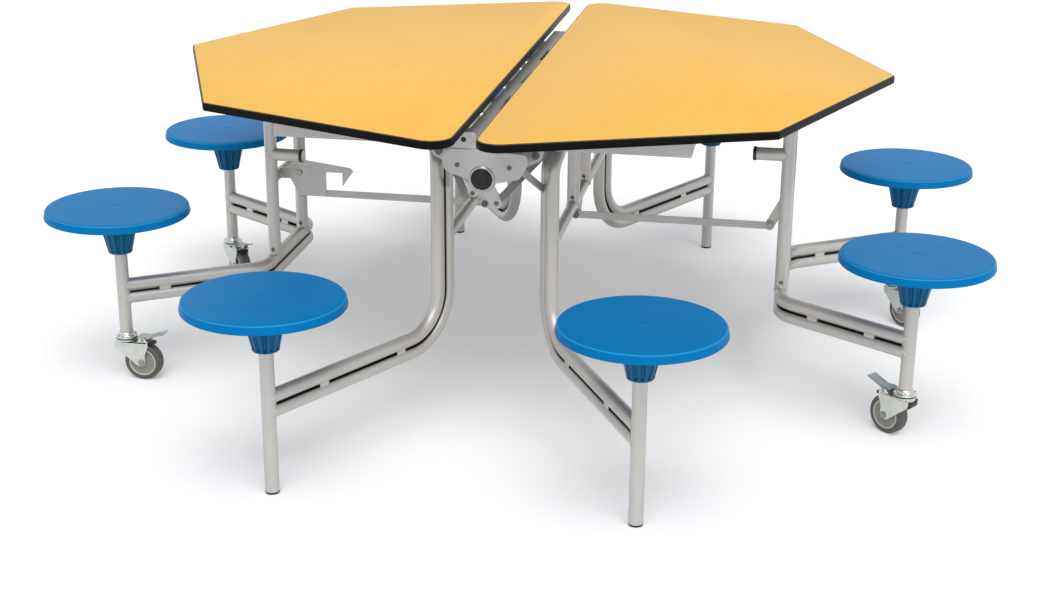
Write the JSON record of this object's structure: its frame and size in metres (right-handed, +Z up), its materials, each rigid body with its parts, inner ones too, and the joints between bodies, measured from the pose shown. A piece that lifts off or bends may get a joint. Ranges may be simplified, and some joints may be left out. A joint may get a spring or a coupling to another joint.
{
  "type": "folding table with attached swivel seats",
  "caption": "Octagonal folding table on casters, with round swivel seats on tubular arms and a centre unit that rises as the half-tops fold down.",
  "frame": {"origin": "on the floor under the middle of the table, with the table unfolded", "axes": "+Z up; X runs across the fold, from the left half-top to the right one; Y runs along the gap between the half-tops"},
  "size_m": [2.1522, 2.1522, 0.735],
  "materials": {
    "maple_laminate": "satin",
    "black_edging": "matte",
    "silver_paint": "satin",
    "plate_paint": "satin",
    "black_plastic": "matte",
    "blue_plastic": "satin",
    "navy_plastic": "satin",
    "zinc": "satin",
    "bolt_steel": "satin",
    "wheel_rubber": "matte"
  },
  "bodies": {
    "centre_unit": {"inner_frame_left": "silver_paint", "inner_frame_right": "silver_paint", "foot_caps": "black_plastic", "centre_beam": "silver_paint", "beam_plugs": "black_plastic", "wing_plates": "plate_paint", "bridge_plates": "plate_paint", "gap_cover": "plate_paint", "stays": "silver_paint", "centre_bolts": "bolt_steel"},
    "half_top_left": {"tabletop_left": "maple_laminate", "edge_band_left": "black_edging", "under_frame_left": "plate_paint", "hinge_brackets_left": "plate_paint"},
    "outer_unit_left": {"outer_frame_left": "silver_paint", "buffer_cap_left": "black_plastic", "outer_bolts_left": "bolt_steel", "caster_mounts_left": "zinc"},
    "link_left": {"link_bar_left": "plate_paint"},
    "half_top_right": {"tabletop_right": "maple_laminate", "edge_band_right": "black_edging", "under_frame_right": "plate_paint", "hinge_brackets_right": "plate_paint"},
    "outer_unit_right": {"outer_frame_right": "silver_paint", "buffer_cap_right": "black_plastic", "outer_bolts_right": "bolt_steel", "caster_mounts_right": "zinc"},
    "link_right": {"link_bar_right": "plate_paint"},
    "hook": {"latch_hook": "plate_paint"},
    "swivel_seat_inner_left_near": {"seat_inner_left_near": "blue_plastic", "hub_inner_left_near": "navy_plastic"},
    "swivel_seat_outer_left_near": {"seat_outer_left_near": "blue_plastic", "hub_outer_left_near": "navy_plastic"},
    "swivel_seat_inner_left_far": {"seat_inner_left_far": "blue_plastic", "hub_inner_left_far": "navy_plastic"},
    "swivel_seat_outer_left_far": {"seat_outer_left_far": "blue_plastic", "hub_outer_left_far": "navy_plastic"},
    "swivel_seat_inner_right_near": {"seat_inner_right_near": "blue_plastic", "hub_inner_right_near": "navy_plastic"},
    "swivel_seat_outer_right_near": {"seat_outer_right_near": "blue_plastic", "hub_outer_right_near": "navy_plastic"},
    "swivel_seat_inner_right_far": {"seat_inner_right_far": "blue_plastic", "hub_inner_right_far": "navy_plastic"},
    "swivel_seat_outer_right_far": {"seat_outer_right_far": "blue_plastic", "hub_outer_right_far": "navy_plastic"},
    "fork_left_near": {"caster_fork_left_near": "zinc"},
    "wheel_left_near": {"caster_wheel_left_near": "wheel_rubber"},
    "pedal_left_near": {"brake_pedal_left_near": "zinc"},
    "fork_left_far": {"caster_fork_left_far": "zinc"},
    "wheel_left_far": {"caster_wheel_left_far": "wheel_rubber"},
    "pedal_left_far": {"brake_pedal_left_far": "zinc"},
    "fork_right_near": {"caster_fork_right_near": "zinc"},
    "wheel_right_near": {"caster_wheel_right_near": "wheel_rubber"},
    "pedal_right_near": {"brake_pedal_right_near": "zinc"},
    "fork_right_far": {"caster_fork_right_far": "zinc"},
    "wheel_right_far": {"caster_wheel_right_far": "wheel_rubber"},
    "pedal_right_far": {"brake_pedal_right_far": "zinc"}
  },
  "joints": [
    {"name": "fold_right", "type": "hinge", "parent": "centre_unit", "child": "half_top_right", "pos_m": [0.104, 0, 0.645], "axis": [0, 1, 0], "range_deg": [0, 80]},
    {"name": "fold_left", "type": "hinge", "parent": "centre_unit", "child": "half_top_left", "pos_m": [-0.104, 0, 0.645], "axis": [0, -1, 0], "range_deg": [0, 80]},
    {"name": "outer_hinge_left", "type": "hinge", "parent": "half_top_left", "child": "outer_unit_left", "pos_m": [-0.57, 0, 0.645], "axis": [0, -1, 0], "range_deg": [-80, 0]},
    {"name": "link_pivot_left", "type": "hinge", "parent": "centre_unit", "child": "link_left", "pos_m": [-0.117, 0.026, 0.366], "axis": [0, -1, 0], "range_deg": [0, 80]},
    {"name": "outer_hinge_right", "type": "hinge", "parent": "half_top_right", "child": "outer_unit_right", "pos_m": [0.57, 0, 0.645], "axis": [0, 1, 0], "range_deg": [-80, 0]},
    {"name": "link_pivot_right", "type": "hinge", "parent": "centre_unit", "child": "link_right", "pos_m": [0.117, -0.026, 0.366], "axis": [0, 1, 0], "range_deg": [0, 80]},
    {"name": "hook_lift", "type": "hinge", "parent": "outer_unit_left", "child": "hook", "pos_m": [-0.567, -0.06, 0.441], "axis": [0, -1, 0], "range_deg": [0, 25]},
    {"name": "seat_swivel_inner_left_near", "type": "hinge", "parent": "centre_unit", "child": "swivel_seat_inner_left_near", "pos_m": [-0.37656, -0.9091, 0.37], "axis": [0, 0, 1], "continuous": true},
    {"name": "seat_swivel_outer_left_near", "type": "hinge", "parent": "outer_unit_left", "child": "swivel_seat_outer_left_near", "pos_m": [-0.9091, -0.37656, 0.37], "axis": [0, 0, 1], "continuous": true},
    {"name": "seat_swivel_inner_left_far", "type": "hinge", "parent": "centre_unit", "child": "swivel_seat_inner_left_far", "pos_m": [-0.37656, 0.9091, 0.37], "axis": [0, 0, 1], "continuous": true},
    {"name": "seat_swivel_outer_left_far", "type": "hinge", "parent": "outer_unit_left", "child": "swivel_seat_outer_left_far", "pos_m": [-0.9091, 0.37656, 0.37], "axis": [0, 0, 1], "continuous": true},
    {"name": "seat_swivel_inner_right_near", "type": "hinge", "parent": "centre_unit", "child": "swivel_seat_inner_right_near", "pos_m": [0.37656, -0.9091, 0.37], "axis": [0, 0, 1], "continuous": true},
    {"name": "seat_swivel_outer_right_near", "type": "hinge", "parent": "outer_unit_right", "child": "swivel_seat_outer_right_near", "pos_m": [0.9091, -0.37656, 0.37], "axis": [0, 0, 1], "continuous": true},
    {"name": "seat_swivel_inner_right_far", "type": "hinge", "parent": "centre_unit", "child": "swivel_seat_inner_right_far", "pos_m": [0.37656, 0.9091, 0.37], "axis": [0, 0, 1], "continuous": true},
    {"name": "seat_swivel_outer_right_far", "type": "hinge", "parent": "outer_unit_right", "child": "swivel_seat_outer_right_far", "pos_m": [0.9091, 0.37656, 0.37], "axis": [0, 0, 1], "continuous": true},
    {"name": "caster_swivel_left_near", "type": "hinge", "parent": "outer_unit_left", "child": "fork_left_near", "pos_m": [-0.9091, -0.37656, 0.1], "axis": [0, 0, 1], "continuous": true},
    {"name": "wheel_spin_left_near", "type": "hinge", "parent": "fork_left_near", "child": "wheel_left_near", "pos_m": [-0.8691, -0.37656, 0.045], "axis": [0, 1, 0], "continuous": true},
    {"name": "pedal_press_left_near", "type": "hinge", "parent": "fork_left_near", "child": "pedal_left_near", "pos_m": [-0.8631, -0.37656, 0.103], "axis": [0, 1, 0], "range_deg": [0, 8]},
    {"name": "caster_swivel_left_far", "type": "hinge", "parent": "outer_unit_left", "child": "fork_left_far", "pos_m": [-0.9091, 0.37656, 0.1], "axis": [0, 0, 1], "continuous": true},
    {"name": "wheel_spin_left_far", "type": "hinge", "parent": "fork_left_far", "child": "wheel_left_far", "pos_m": [-0.88081, 0.34828, 0.045], "axis": [0.7071, 0.7071, 0], "continuous": true},
    {"name": "pedal_press_left_far", "type": "hinge", "parent": "fork_left_far", "child": "pedal_left_far", "pos_m": [-0.87657, 0.34403, 0.103], "axis": [0.7071, 0.7071, 0], "range_deg": [0, 8]},
    {"name": "caster_swivel_right_near", "type": "hinge", "parent": "outer_unit_right", "child": "fork_right_near", "pos_m": [0.9091, -0.37656, 0.1], "axis": [0, 0, 1], "continuous": true},
    {"name": "wheel_spin_right_near", "type": "hinge", "parent": "fork_right_near", "child": "wheel_right_near", "pos_m": [0.87937, -0.3498, 0.045], "axis": [-0.6691, -0.7431, 0], "continuous": true},
    {"name": "pedal_press_right_near", "type": "hinge", "parent": "fork_right_near", "child": "pedal_right_near", "pos_m": [0.87491, -0.34578, 0.103], "axis": [-0.6691, -0.7431, 0], "range_deg": [0, 8]},
    {"name": "caster_swivel_right_far", "type": "hinge", "parent": "outer_unit_right", "child": "fork_right_far", "pos_m": [0.9091, 0.37656, 0.1], "axis": [0, 0, 1], "continuous": true},
    {"name": "wheel_spin_right_far", "type": "hinge", "parent": "fork_right_far", "child": "wheel_right_far", "pos_m": [0.93586, 0.34684, 0.045], "axis": [0.7431, 0.6691, 0], "continuous": true},
    {"name": "pedal_press_right_far", "type": "hinge", "parent": "fork_right_far", "child": "pedal_right_far", "pos_m": [0.93988, 0.34238, 0.103], "axis": [0.7431, 0.6691, 0], "range_deg": [0, 8]}
  ],
  "couplings": [
    {"joint": "fold_left", "follows": "fold_right", "ratio": 1},
    {"joint": "outer_hinge_left", "follows": "fold_right", "ratio": -1},
    {"joint": "link_pivot_left", "follows": "fold_right", "ratio": 1},
    {"joint": "outer_hinge_right", "follows": "fold_right", "ratio": -1},
    {"joint": "link_pivot_right", "follows": "fold_right", "ratio": 1}
  ]
}
